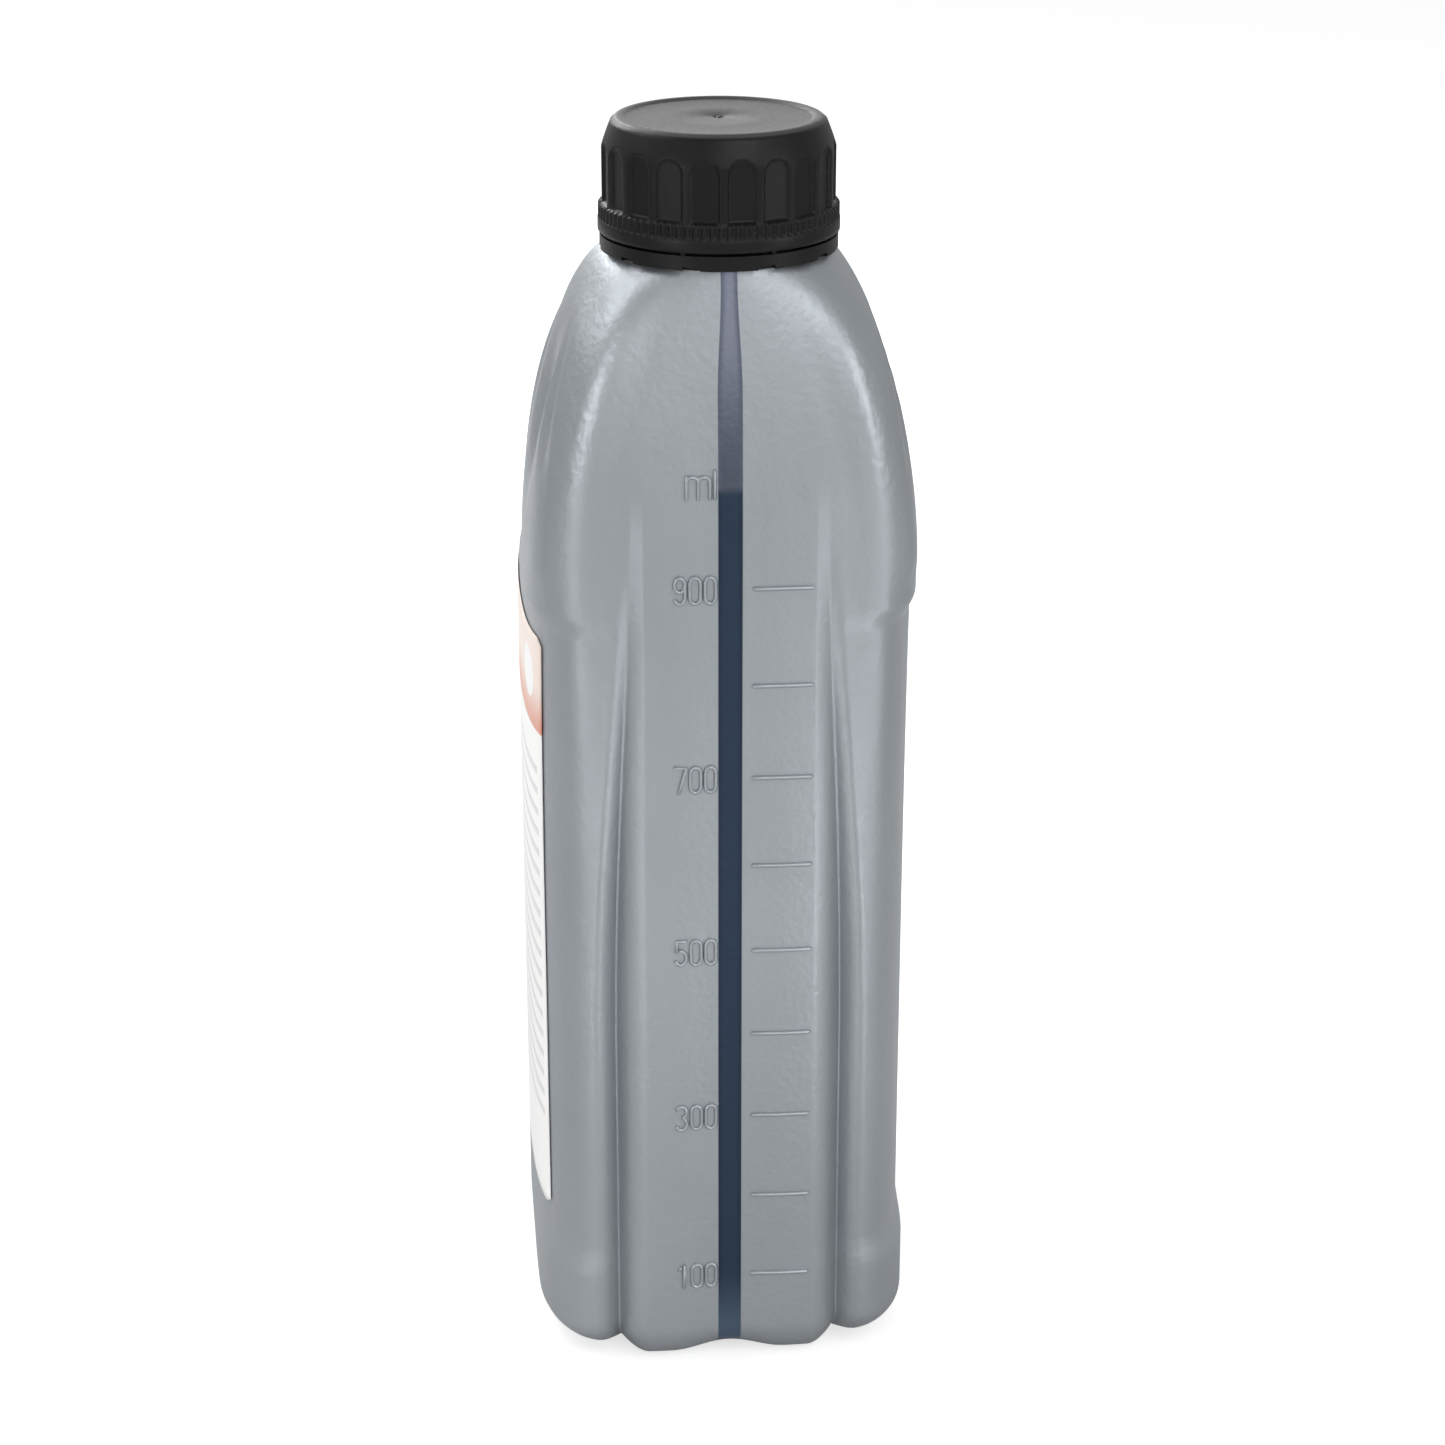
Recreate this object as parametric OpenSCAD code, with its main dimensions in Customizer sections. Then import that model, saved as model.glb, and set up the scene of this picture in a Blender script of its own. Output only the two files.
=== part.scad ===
/* [Body] */
// Width of the body from the scale side to the far side
body_w = 93; // [84:1:104]
// Depth of the body from front to back at its foot and at its bulge
body_d = 72.7; // [66:0.1:82]
// Height of the ledge that the neck stands on
shoulder_z = 216.6; // [205:0.2:235]
// Height at which the far side starts to round over to the neck
far_round_z = 90; // [60:1:120]
// Height of the widest line of the shoulder
bulge_z = 158; // [156:0.5:170]
// Radius of the round edge at the base
base_r = 7.5; // [5:0.5:8.5]
// Rise of the middle of the base over its standing ring
push_up = 2; // [1:0.5:4]
// Width of the standing ring
stand_ring_w = 7; // [5:0.5:9]
// Thickness of the blown wall
wall = 1.2; // [0.9:0.1:1.8]
// Thickness of the base
base_wall = 1.6; // [1.2:0.1:2.5]

/* [Label panels] */
// Height of the lower edge of the label panels
panel_low_z = 26; // [24:0.5:40]
// Height of the upper edge of the label panels
panel_high_z = 150; // [130:0.5:150]
// Height of the step below the label panels
low_step_h = 7; // [5:0.5:12]
// Height of the step above the label panels
high_step_h = 4.5; // [3:0.5:6]
// Half the width over which a label panel is bowed
panel_half_w = 33; // [28:0.5:38]
// How far a label panel draws in from its middle to its ends
panel_edge_in = 2.8; // [1.5:0.1:3.5]
// How far the middle of a label panel stands out past the foot and the bulge
panel_bow = 0.7; // [0:0.1:1]

/* [Scale side] */
// Height at which the two flutes start
flute_top_z = 184; // [170:1:200]
// Depth of the flutes at the base
flute_depth = 3; // [1.5:0.1:3.4]
// Half the width of the flat between the flutes
flute_edge_y = 15.4; // [13:0.2:17]
// Half the width of a flute at the base
flute_half_w = 6.2; // [5.4:0.1:6.6]
// Half the width of a flute where it starts
flute_top_half_w = 2.3; // [1:0.1:3]
// How far the corner ridges beside the flutes stand out
ridge_out = 0.4; // [0:0.1:0.8]
// How far the corner pads stand back from the flat at the base
pad_drop = 1.6; // [1:0.1:3]
// Depth of the hollow along the middle of the scale side
hollow_depth = 0.5; // [0:0.1:1]
// Height of the first scale bar
scale_first_z = 19.8; // [16:0.2:24]
// Rise from one scale bar to the next where the body is full
scale_pitch = 17.2; // [15:0.1:17.6]
// Growth of the rise where the body narrows
scale_growth = 0.036; // [0:0.002:0.04]
// Number of scale bars
scale_count = 9; // [5:1:9]
// Length of a scale bar
scale_bar_w = 10.7; // [6:0.1:11]
// Height of a scale bar
scale_bar_h = 0.9; // [0.6:0.1:1.5]
// How far a scale bar stands out
scale_bar_out = 0.4; // [0.2:0.1:0.8]
// Distance of the scale bars' middle from the view stripe's middle
scale_bar_y = 9.6; // [8:0.1:10]

/* [Grips] */
// Number of finger scoops on each shoulder
grip_count = 2; // [1:1:2]
// Distance between the finger scoops
grip_pitch = 21; // [18:0.5:24]
// Depth of a finger scoop
grip_depth = 2.4; // [1:0.1:3]
// Half the width of a finger scoop
grip_half_w = 9; // [7:0.5:10]
// Height of the middle of the finger scoops
grip_z = 187; // [180:1:195]
// Half the height of a finger scoop
grip_half_h = 20; // [14:1:24]

/* [Neck] */
// Distance of the neck's axis from the face of the scale side
neck_setback = 23.3; // [21:0.1:34]
// Radius of the ledge at the foot of the neck
ledge_r = 19.6; // [18.5:0.1:21]
// Outer radius of the neck
neck_r = 17.6; // [16.5:0.1:18.2]
// Radius of the mouth
mouth_r = 14.6; // [12:0.1:15.4]
// Height of the neck over its ledge
neck_h = 19.9; // [17:0.1:26]
// Radius of the bead that holds the tamper band down
bead_r = 18.8; // [18.4:0.1:18.9]
// Height of the bead
bead_h = 1.4; // [1:0.1:2]

/* [Cap] */
// Radius of the cap over its ribs
cap_r = 20.8; // [20.6:0.1:22.6]
// Radius of the cap's flat top
cap_top_r = 18.6; // [17:0.1:19.5]
// Radius of the smooth skirt
skirt_r = 21.6; // [21.4:0.1:23.4]
// Height of the smooth skirt
skirt_h = 2.4; // [1.5:0.1:3]
// Radius of the knurled ring over its teeth
knurl_r = 21.5; // [21.2:0.1:23.2]
// Height of the knurled ring
knurl_h = 2.5; // [2:0.1:3]
// Height of the cone between the ribs and the flat top
cone_h = 5.4; // [3:0.1:6]
// Depth of the dish in the flat top
top_dish = 0.4; // [0.2:0.1:0.8]
// Thickness of the cap's top
cap_top_t = 2.2; // [1.4:0.1:3]
// Radius of the cap's inside
cap_bore_r = 19.2; // [19.1:0.05:19.4]
// Number of ribs
rib_count = 20; // [12:1:28]
// Width of a rib
rib_w = 1.1; // [0.8:0.1:2]
// Depth of the panels between the ribs
rib_depth = 0.7; // [0.3:0.1:0.9]
// Thickness of the sealing liner
liner_t = 1; // [0.6:0.1:1.4]

/* [Tamper band] */
// Outer radius of the tamper band
band_r = 21.3; // [21:0.1:23]
// Height of the tamper band
band_h = 2.6; // [2:0.1:4]
// Number of windows along the band's lower edge
window_count = 10; // [6:1:12]
// Width of a window
window_w = 3.2; // [2:0.1:4]
// Height of a window
window_h = 0.7; // [0.4:0.1:1]
// Number of break-off bridges on the band's upper edge
bridge_count = 8; // [4:1:12]
// Width of a bridge
bridge_w = 0.9; // [0.6:0.1:1.5]

/* [Label and fluid] */
// Width of the front label
label_w = 66; // [50:0.5:70]
// Height of the front label
label_h = 115; // [80:0.5:118]
// Thickness of the front label
label_t = 0.25; // [0.15:0.05:0.4]
// Height of the fluid's surface
fluid_level = 178; // [120:0.5:185]

/* [Clearances] */
// Gap between the band and the ledge that it sits on
band_seat_gap = 0.3; // [0.2:0.05:0.4]
// Gap between the band and the cap's skirt
tear_gap = 0.5; // [0.4:0.05:0.7]
// Gap between the bridges and the cap's skirt
bridge_gap = 0.15; // [0.1:0.05:0.2]
// Gap between the liner and the lip of the neck
seal_gap = 0.3; // [0.2:0.05:0.4]
// Gap between the liner and the cap round it
liner_gap = 0.1; // [0.05:0.05:0.2]
// Gap between the label and the body
label_gap = 0.2; // [0.15:0.01:0.3]
// Gap between the fluid and the wall
fluid_gap = 0.4; // [0.3:0.05:0.6]

/* [Hidden] */
$fn = 96;

// Plan of the body: squareness of its outline up to the bulge and at the neck
square_body = 5.3;
square_neck = 2;
square_fade = 2.2;
// Curve of the shoulder between the bulge and the ledge
shoulder_curve = 1.9;
shoulder_fall = 0.69;
// Shares by which the shoulder is narrower towards the far side, from the bulge on and close to the ledge
far_taper = 0.055;
far_taper_top = 0.15;
far_taper_run = 50;
// Directions round the outline: closely spaced on the scale side, wider round the far side
near_span = 50;
near_steps = 22;
far_steps = 12;
// Height over which the flutes reach their full depth
flute_run = 115;
// Place of the corner ridges as a share of the half depth, and half their width
ridge_share = 0.775;
ridge_half_w = 5.5;
pad_run = 8;
scale_full = 4;
hollow_half_w = 12;
// Lift of the base's edge at the corner pads and at the middle of the scale side
pad_lift = 1;
edge_lift = 1.8;
edge_lift_half_w = 11;
edge_lift_top_z = 12;
// Turn of the ribs about the cap's axis
rib_turn = -2.8;
eps = 0.01;

// The cap stands out past the scale side, and the whole width is centred on the origin
overhang = max(0, skirt_r - neck_setback);
near_face_x = (body_w - overhang) / 2;
far_face_x = near_face_x - body_w;
neck_x = near_face_x - neck_setback;
grip_first_x = neck_x - 1;
neck_top_z = shoulder_z + neck_h;
band_z = shoulder_z + band_seat_gap;
cap_z = band_z + band_h + tear_gap;
liner_z = neck_top_z + seal_gap;
cap_roof_z = liner_z + liner_t + liner_gap;
cap_top_z = cap_roof_z + cap_top_t;
cap_rib_z = cap_z + skirt_h + knurl_h;
cap_cone_z = cap_top_z - cone_h;
band_bore_r = cap_bore_r + liner_gap;
label_low_z = (panel_low_z + panel_high_z - label_h) / 2;

function mix(a, b, k) = a + (b - a) * k;
function clamp01(k) = min(1, max(0, k));
function ease(k) = clamp01(k) * clamp01(k) * (3 - 2 * clamp01(k));
function bell(k) = abs(k) >= 1 ? 0 : pow(cos(90 * k), 2);
function side(v) = v < 0 ? -1 : 1;

// How far up the shoulder a height is, from 0 at the bulge to 1 at the ledge
function rise(z) = clamp01((z - bulge_z) / (shoulder_z - bulge_z));

// From 0 along the label panels to 1 at the foot and at the bulge
function rim_share(z) =
    z < (panel_low_z + panel_high_z) / 2
        ? ease((panel_low_z - z) / low_step_h)
        : ease((z - panel_high_z) / high_step_h);

// The ends of the outline on the scale side and on the far side
function near_x(z) = mix(near_face_x, neck_x + ledge_r, ease(rise(z)));
function far_x(z) =
    let (top_x = neck_x - ledge_r, k = clamp01((z - far_round_z) / (shoulder_z - far_round_z)))
    mix(top_x, far_face_x, sqrt(1 - k * k));

// Half depth and squareness of the outline
function half_depth(z) =
    mix(ledge_r, body_d / 2, pow(1 - pow(rise(z), shoulder_curve), shoulder_fall));
function squareness(z) = mix(square_body, square_neck, pow(rise(z), square_fade));

// The shoulder's depth is scaled down towards the far side, and is full again at the ledge
function narrowing(x, z) =
    let (share = far_taper * ease((z - panel_high_z) / high_step_h) + far_taper_top * pow(rise(z), 4))
    1 - share * (1 - pow(rise(z), 12)) * ease((neck_x - x) / far_taper_run);

// How far the surface draws in at a point of the outline
function flute_in(y, z) =
    let (k = ease((flute_top_z - z) / flute_run), half_w = mix(flute_top_half_w, flute_half_w, k))
    flute_depth * k * bell((abs(y) - flute_edge_y - half_w) / half_w);
function ridge_in(y, z) =
    -ridge_out * (1 - rise(z)) * bell((abs(y) - ridge_share * half_depth(z)) / ridge_half_w);
function pad_in(y, z) =
    pad_drop * ease((flute_top_z - z) / flute_run) * ease((abs(y) - flute_edge_y) / pad_run);
function hollow_in(y, z) =
    hollow_depth * ease((flute_top_z - z) / flute_run) * bell(y / hollow_half_w);
function panel_in(x, z) =
    let (across = clamp01(abs(x) / panel_half_w))
    (1 - rim_share(z)) * (panel_edge_in * across * across - panel_bow);
function grip_in(x, z) =
    let (across = [for (i = [0 : grip_count - 1]) bell((x - grip_first_x + i * grip_pitch) / grip_half_w)])
    grip_depth * bell((z - grip_z) / grip_half_h) * max(across);

// One point of the body's surface, in a direction seen from the middle of its outline.
// A shrunk outline is smaller all round and plain, for the underside of the base.
// A pulled one keeps its flutes and stands back, for the round edge at the base.
function surface_point(z, angle, shrink = 0, pull = 0) =
    let (
        mid_x = (near_x(z) + far_x(z)) / 2,
        a = (near_x(z) - far_x(z)) / 2 - shrink,
        b = half_depth(z) - shrink,
        n = squareness(z),
        reach = pow(pow(abs(cos(angle)) / a, n) + pow(abs(sin(angle)) / b, n), -1 / n),
        x = reach * cos(angle),
        y = reach * sin(angle),
        gx = side(x) * pow(abs(x) / a, n - 1) / a,
        gy = side(y) * pow(abs(y) / b, n - 1) / b,
        g = norm([gx, gy]),
        side_in = flute_in(y, z) + ridge_in(y, z) + pad_in(y, z) + hollow_in(y, z),
        scale_side = x > 0 && shrink == 0 ? side_in * abs(gx / g) : 0,
        depth = pull + scale_side + (panel_in(x, z) + grip_in(x + mid_x, z)) * abs(gy / g),
        px = x + mid_x - depth * gx / g
    )
    [px, (y - depth * gy / g) * narrowing(px, z)];

half_turn = concat(
    [for (i = [0 : near_steps]) near_span * i / near_steps],
    [for (i = [1 : far_steps]) near_span + (180 - near_span) * i / far_steps]
);
half_count = len(half_turn);
directions = concat(half_turn, [for (i = [half_count - 2 : -1 : 1]) -half_turn[i]]);
ring_count = len(directions);

// An outline drawn in by a distance at right angles to itself
function inset(ring, d) =
    let (n = len(ring))
    [for (i = [0 : n - 1])
        let (along = ring[(i + 1) % n] - ring[(i + n - 1) % n], l = norm(along))
        ring[i] - d * [along[1], -along[0]] / l];

// The base's edge lifts a little at the middle of the scale side and at the corner pads
function lift(x, y, z) =
    let (
        middle = x > 0 ? edge_lift * bell(y / edge_lift_half_w) : 0,
        pads = pad_lift * ease((abs(y) - flute_edge_y) / pad_run) * ease((x - neck_x) / neck_setback * 2)
    )
    (middle + pads) * (1 - ease(z / edge_lift_top_z));

// A row is [height of the outline, distance drawn in, height of the points, shrink and pull of the outline]
function row_points(row) =
    let (ring = [for (angle = directions) surface_point(row[0], angle, row[3], row[4])])
    [for (p = inset(ring, row[1])) [p[0], p[1], row[2] + lift(p[0], p[1], row[2])]];

// Faces of a stack of rings, closed at both ends
function skin_faces(rows, n) = concat(
    [[for (i = [0 : n - 1]) i]],
    [for (r = [0 : rows - 2], i = [0 : n - 1])
        [r * n + i, (r + 1) * n + (i + 1) % n, r * n + (i + 1) % n]],
    [for (r = [0 : rows - 2], i = [0 : n - 1])
        [r * n + i, (r + 1) * n + i, (r + 1) * n + (i + 1) % n]],
    [[for (i = [n - 1 : -1 : 0]) (rows - 1) * n + i]]
);

module skin(rows) {
    points = [for (row = rows) each row_points(row)];
    polyhedron(points, skin_faces(len(rows), ring_count), convexity = 6);
}

function steps(a, b, n) = [for (i = [1 : n]) mix(a, b, i / n)];

base_rows = [
    [0, 0, push_up, base_r + stand_ring_w + push_up, 0],
    [0, 0, 0, base_r + stand_ring_w, 0],
    for (angle = [0 : 30 : 90]) [0, 0, base_r * (1 - cos(angle)), 0, base_r * (1 - sin(angle))]
];
foot_top_z = panel_low_z - low_step_h;
side_levels = concat(
    steps(base_r, foot_top_z, 2),
    steps(foot_top_z, panel_low_z, 4),
    steps(panel_low_z, panel_high_z, 7),
    steps(panel_high_z, panel_high_z + high_step_h, 4)
);
shoulder_levels = [
    for (angle = [7.5 : 7.5 : 90]) mix(panel_high_z + high_step_h, shoulder_z, sin(angle))
];
body_levels = concat(side_levels, shoulder_levels);
body_rows = concat(base_rows, [for (z = body_levels) [z, 0, z, 0, 0]]);

// The rows of the base, drawn in and lifted by a distance
function base_inside(d, rise) = [
    for (row = base_rows)
        let (plain = row[3] > 0)
        [row[0], plain ? 0 : d, row[2] + rise, plain ? row[3] + d : 0, row[4]]
];
inner_side_levels = concat(
    steps(base_r + base_wall, foot_top_z, 1),
    steps(foot_top_z, panel_low_z, 2),
    steps(panel_low_z, panel_high_z, 5),
    steps(panel_high_z, panel_high_z + high_step_h, 2)
);
inner_shoulder_levels = [
    for (angle = [10 : 10 : 90]) mix(panel_high_z + high_step_h, shoulder_z - wall, sin(angle))
];
// Towards the ledge the wall is level, so its thickness is taken in height there
inner_rows = concat(
    base_inside(wall, base_wall),
    [for (z = concat(inner_side_levels, inner_shoulder_levels)) [z + wall * rise(z), wall, z, 0, 0]]
);
fluid_levels = [for (z = concat(inner_side_levels, inner_shoulder_levels)) if (z < fluid_level - eps) z];
fluid_rows = concat(
    base_inside(wall + fluid_gap, base_wall + fluid_gap),
    [for (z = concat(fluid_levels, [fluid_level])) [z + wall * rise(z), wall + fluid_gap, z, 0, 0]]
);

// The shell goes up the outside, through the hole under the neck and down the inside
hole_r = (neck_r + mouth_r) / 2;
hole_inset = ledge_r - hole_r;
hole_rows = [
    [shoulder_z, hole_inset, shoulder_z, 0, 0],
    [shoulder_z, hole_inset, shoulder_z - wall, 0, 0]
];
shell_rows = concat(body_rows, hole_rows, [for (i = [len(inner_rows) - 1 : -1 : 0]) inner_rows[i]]);

module ring(outer_r, inner_r, z, h) {
    translate([neck_x, 0, z])
        rotate_extrude()
            translate([inner_r, 0])
                square([outer_r - inner_r, h]);
}

// A raised bar with round ends on the scale side
module scale_bar(z) {
    seat_x = surface_point(z, atan2(scale_bar_y, body_w / 2))[0];
    sunk = 0.7 * wall;
    translate([seat_x - sunk, scale_bar_y, z])
        rotate([90, 0, 90])
            linear_extrude(sunk + scale_bar_out) {
                square([scale_bar_w - scale_bar_h, scale_bar_h], center = true);
                for (s = [-1, 1])
                    translate([s * (scale_bar_w - scale_bar_h) / 2, 0])
                        circle(d = scale_bar_h, $fn = 24);
            }
}

// Half section of the neck: a tube with a bead round its foot
module neck_section() {
    translate([mouth_r, shoulder_z - wall / 2])
        square([neck_r - mouth_r, neck_h + wall / 2]);
    translate([hole_r, cap_z])
        square([bead_r - hole_r, bead_h]);
}

module bottle() {
    color([0.6, 0.62, 0.64]) {
        skin(shell_rows);
        translate([neck_x, 0, 0])
            rotate_extrude()
                neck_section();
        for (i = [0 : scale_count - 1])
            scale_bar(scale_first_z + i * scale_pitch + scale_growth * pow(max(0, i - scale_full), 3));
    }
}

// Outline of one sunk panel between two ribs: straight sides and a round head
module rib_panel(w, h) {
    translate([-w / 2, 0])
        square([w, h - w / 2]);
    translate([0, h - w / 2])
        circle(d = w, $fn = 48);
}

module cap_body() {
    edge_r = 0.8;
    rotate_extrude()
        polygon([
            [0, cap_roof_z],
            [cap_bore_r, cap_roof_z],
            [cap_bore_r, cap_z],
            [skirt_r, cap_z],
            [skirt_r, cap_z + skirt_h],
            [knurl_r, cap_z + skirt_h],
            [knurl_r, cap_rib_z],
            [cap_r, cap_rib_z],
            [cap_r, cap_cone_z],
            [cap_top_r, cap_top_z - edge_r],
            [cap_top_r - edge_r, cap_top_z],
            [cap_top_r - 2 * edge_r, cap_top_z],
            [cap_top_r - 2 * edge_r - top_dish, cap_top_z - top_dish],
            [0, cap_top_z - top_dish]
        ]);
}

module cap() {
    pitch = 360 / rib_count;
    panel_w = 2 * cap_r * sin(pitch / 2) - rib_w;
    panel_h = cap_cone_z - cap_rib_z + panel_w / 4;
    color([0.09, 0.09, 0.1])
        translate([neck_x, 0, 0])
            difference() {
                cap_body();
                for (i = [0 : rib_count - 1])
                    rotate([0, 0, (i + 0.5) * pitch + rib_turn])
                        translate([cap_r - rib_depth, 0, cap_rib_z])
                            rotate([90, 0, 90])
                                linear_extrude(2 * rib_depth)
                                    rib_panel(panel_w, panel_h);
            }
}

module liner() {
    color([0.92, 0.92, 0.9])
        translate([neck_x, 0, liner_z])
            cylinder(r = cap_bore_r - liner_gap, h = liner_t);
}

module tamper_band() {
    bridge_t = (band_r - band_bore_r) / 2;
    color([0.09, 0.09, 0.1])
        difference() {
            union() {
                ring(band_r, band_bore_r, band_z, band_h);
                for (i = [0 : bridge_count - 1])
                    translate([neck_x, 0, band_z])
                        rotate([0, 0, (i + 0.5) * 360 / bridge_count])
                            translate([band_bore_r + bridge_t / 2, -bridge_w / 2, band_h / 2])
                                cube([bridge_t, bridge_w, band_h / 2 + tear_gap - bridge_gap]);
            }
            for (i = [0 : window_count - 1])
                translate([neck_x, 0, band_z - eps])
                    rotate([0, 0, (i + 0.5) * 360 / window_count])
                        translate([band_bore_r + bridge_t, -window_w / 2, 0])
                            cube([2 * bridge_t, window_w, window_h + eps]);
        }
}

// The label follows the front panel at the body's own directions and heights, so it lies on it evenly
module front_label() {
    n_panel = squareness(label_low_z);
    edge_y = half_depth(label_low_z) * pow(1 - pow(label_w / body_w, n_panel), 1 / n_panel);
    start = atan2(edge_y, label_w / 2);
    between = [for (angle = half_turn) if (angle > start + 1 && angle < 179 - start) -angle];
    angles = concat([-start], between, [start - 180]);
    label_high_z = label_low_z + label_h;
    inside = [for (z = side_levels) if (z > label_low_z + 1 && z < label_high_z - 1) z];
    levels = concat([label_low_z], inside, [label_high_z]);
    across = len(angles) - 1;
    up = len(levels) - 1;
    function sheet(z, out) = [
        for (angle = angles)
            let (p = surface_point(z, angle), q = surface_point(z, angle + 1), along = q - p)
            let (normal = [along[1], -along[0]] / norm(along))
            [p[0] + out * normal[0], p[1] + out * normal[1], z]
    ];
    inner = [for (z = levels) each sheet(z, label_gap)];
    outer = [for (z = levels) each sheet(z, label_gap + label_t)];
    n = across + 1;
    total = n * (up + 1);
    quads = [for (j = [0 : up - 1], i = [0 : across - 1]) [j * n + i, j * n + i + 1, (j + 1) * n + i + 1, (j + 1) * n + i]];
    edge = concat(
        [for (i = [0 : across]) i],
        [for (j = [1 : up]) j * n + across],
        [for (i = [across - 1 : -1 : 0]) up * n + i],
        [for (j = [up - 1 : -1 : 1]) j * n]
    );
    edge_n = len(edge);
    faces = concat(
        [for (q = quads) each [[q[0], q[1], q[2]], [q[0], q[2], q[3]]]],
        [for (q = quads) each [[q[2], q[1], q[0]] + [total, total, total], [q[3], q[2], q[0]] + [total, total, total]]],
        [for (i = [0 : edge_n - 1])
            let (a = edge[i], b = edge[(i + 1) % edge_n])
            each [[b, a, a + total], [b, a + total, b + total]]]
    );
    color([0.95, 0.94, 0.92])
        polyhedron(concat(inner, outer), faces, convexity = 4);
}

module fluid() {
    color([0.1, 0.14, 0.2])
        skin(fluid_rows);
}

bottle();
cap();
liner();
tamper_band();
front_label();
fluid();
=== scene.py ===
"""Looks of a one-litre fluid bottle: satin grey shell with a view stripe, black cap, label."""
import math
from typing import NamedTuple

import bmesh
import bpy
import numpy as np
from mathutils import Matrix, Vector

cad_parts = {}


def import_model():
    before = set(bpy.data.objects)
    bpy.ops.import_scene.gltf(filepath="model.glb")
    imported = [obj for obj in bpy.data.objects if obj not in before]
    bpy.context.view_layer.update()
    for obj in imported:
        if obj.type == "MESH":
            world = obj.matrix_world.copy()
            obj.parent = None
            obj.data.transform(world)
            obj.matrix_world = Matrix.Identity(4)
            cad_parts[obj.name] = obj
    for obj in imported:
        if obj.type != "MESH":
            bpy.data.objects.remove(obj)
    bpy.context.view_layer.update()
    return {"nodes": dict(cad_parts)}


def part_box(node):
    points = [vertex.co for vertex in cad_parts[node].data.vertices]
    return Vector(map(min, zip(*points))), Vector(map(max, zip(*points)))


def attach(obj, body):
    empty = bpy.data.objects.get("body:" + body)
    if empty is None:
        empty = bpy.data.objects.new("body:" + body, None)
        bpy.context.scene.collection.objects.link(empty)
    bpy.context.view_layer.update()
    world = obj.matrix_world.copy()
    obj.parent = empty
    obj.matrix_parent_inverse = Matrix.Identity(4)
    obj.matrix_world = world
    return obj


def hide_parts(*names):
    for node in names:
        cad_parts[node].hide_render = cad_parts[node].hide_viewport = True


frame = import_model()

# Lengths are in millimetres until a mesh is made, and angles in degrees where they are named
MM = 0.001

# Body
BODY_W = 93.0
BODY_D = 72.7
SHOULDER_Z = 216.6
FAR_ROUND_Z = 90.0
BULGE_Z = 158.0
BASE_R = 7.5
PUSH_UP = 2.0
PUSH_UP_RING_W = 12.0
STAND_RING_W = 7.0
WALL = 1.2
BASE_WALL = 1.6
PANEL_LOW_Z = 26.0
PANEL_HIGH_Z = 150.0
LOW_STEP_H = 7.0
HIGH_STEP_H = 4.5
PANEL_HALF_W = 33.0
PANEL_EDGE_IN = 1.5
PANEL_BOW = -0.1
SQUARE_BODY = 5.3
SQUARE_NECK = 2.0
SQUARE_FADE = 2.2
NEAR_CURVE = 3.0
SHOULDER_CURVE = 1.9
SHOULDER_FALL = 0.69
LEDGE_FADE = 12
FAR_TAPER = 0.055
FAR_TAPER_TOP = 0.15
FAR_TAPER_CURVE = 4
FAR_TAPER_RUN = 50.0

# Scale side
FLUTE_TOP_Z = 184.0
FLUTE_DEPTH = 3.9
FLUTE_EDGE_Y = 15.4
FLUTE_INNER_W = 6.4
FLUTE_OUTER_W = 4.3
FLUTE_TOP_HALF_W = 2.3
FLUTE_RUN = 115.0
CREASE_SOFT = 0.05
RIDGE_OUT = 0.4
RIDGE_HALF_W = 5.5
RIDGE_TOP_OUT = 2.2
RIDGE_TOP_HALF_W = 9.0
RIDGE_RISE = 0.85
RIDGE_SHARE = 0.775
STEP_DEPTH = 0.75
STEP_Y = (15.6, 19.6)
STEP_FADE = 10.0
STEP_LOW_Z = 110.0
STEP_LOW_RUN = 40.0
STEP_TOP_RUN = 20.0
HOLLOW_DEPTH = 0.5
HOLLOW_HALF_W = 12.0
PAD_RUN = 8.0
PAD_LIFT = 2.5
EDGE_LIFT = 1.8
EDGE_LIFT_HALF_W = 11.0
EDGE_LIFT_TOP_Z = 12.0

# Scale and stripe
SCALE_FIRST_Z = 19.8
SCALE_PITCH = 17.2
SCALE_GROWTH = 0.036
SCALE_EVEN_COUNT = 4
SCALE_COUNT = 9
BAR_Y = (4.3, 14.8)
STROKE_W = 0.85
STROKE_OUT = 0.6
LETTER_STROKE_W = STROKE_W * 0.9
LETTER_WIDTHS = {"m": 1.6, "l": 0.3}
DIGIT_W = 1.95
DIGIT_H = 4.9
DIGIT_GAP = 0.8
DIGIT_RIGHT_Y = -2.65
UNIT_W = 2.6
UNIT_GAP = 0.5
UNIT_RIGHT_Y = -2.4
UNIT_BELOW_LEVEL = 1.2
STRIPE_HALF_W = 2.2
STRIPE_TOP_HALF_W = 1.45
FLUID_LEVEL = 178.0

# Grips
GRIP_COUNT = 2
GRIP_PITCH = 21.0
GRIP_DEPTH = 2.4
GRIP_HALF_W = 9.0
GRIP_Z = 187.0
GRIP_HALF_H = 20.0
GRIP_BEHIND_NECK = 1.0
FLANK_EDGE_OUT = 0.8
FLANK_EDGE_X = 40.2
FLANK_EDGE_Z = 174.0
FLANK_EDGE_BEND = 0.0057
FLANK_EDGE_W = (9.0, 4.0)
FLANK_EDGE_LOW_Z = 156.0
FLANK_EDGE_LOW_RUN = 6.0
FLANK_EDGE_TOP_Z = 204.0
FLANK_EDGE_TOP_RUN = 8.0
GROOVE_DEPTH = 1.2
GROOVE_HALF_W = 3.2
GROOVE_LOW = (37.2, 178.5)
GROOVE_SLANT = 0.25
GROOVE_Z = 192.0
GROOVE_HALF_H = 18.0

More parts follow.
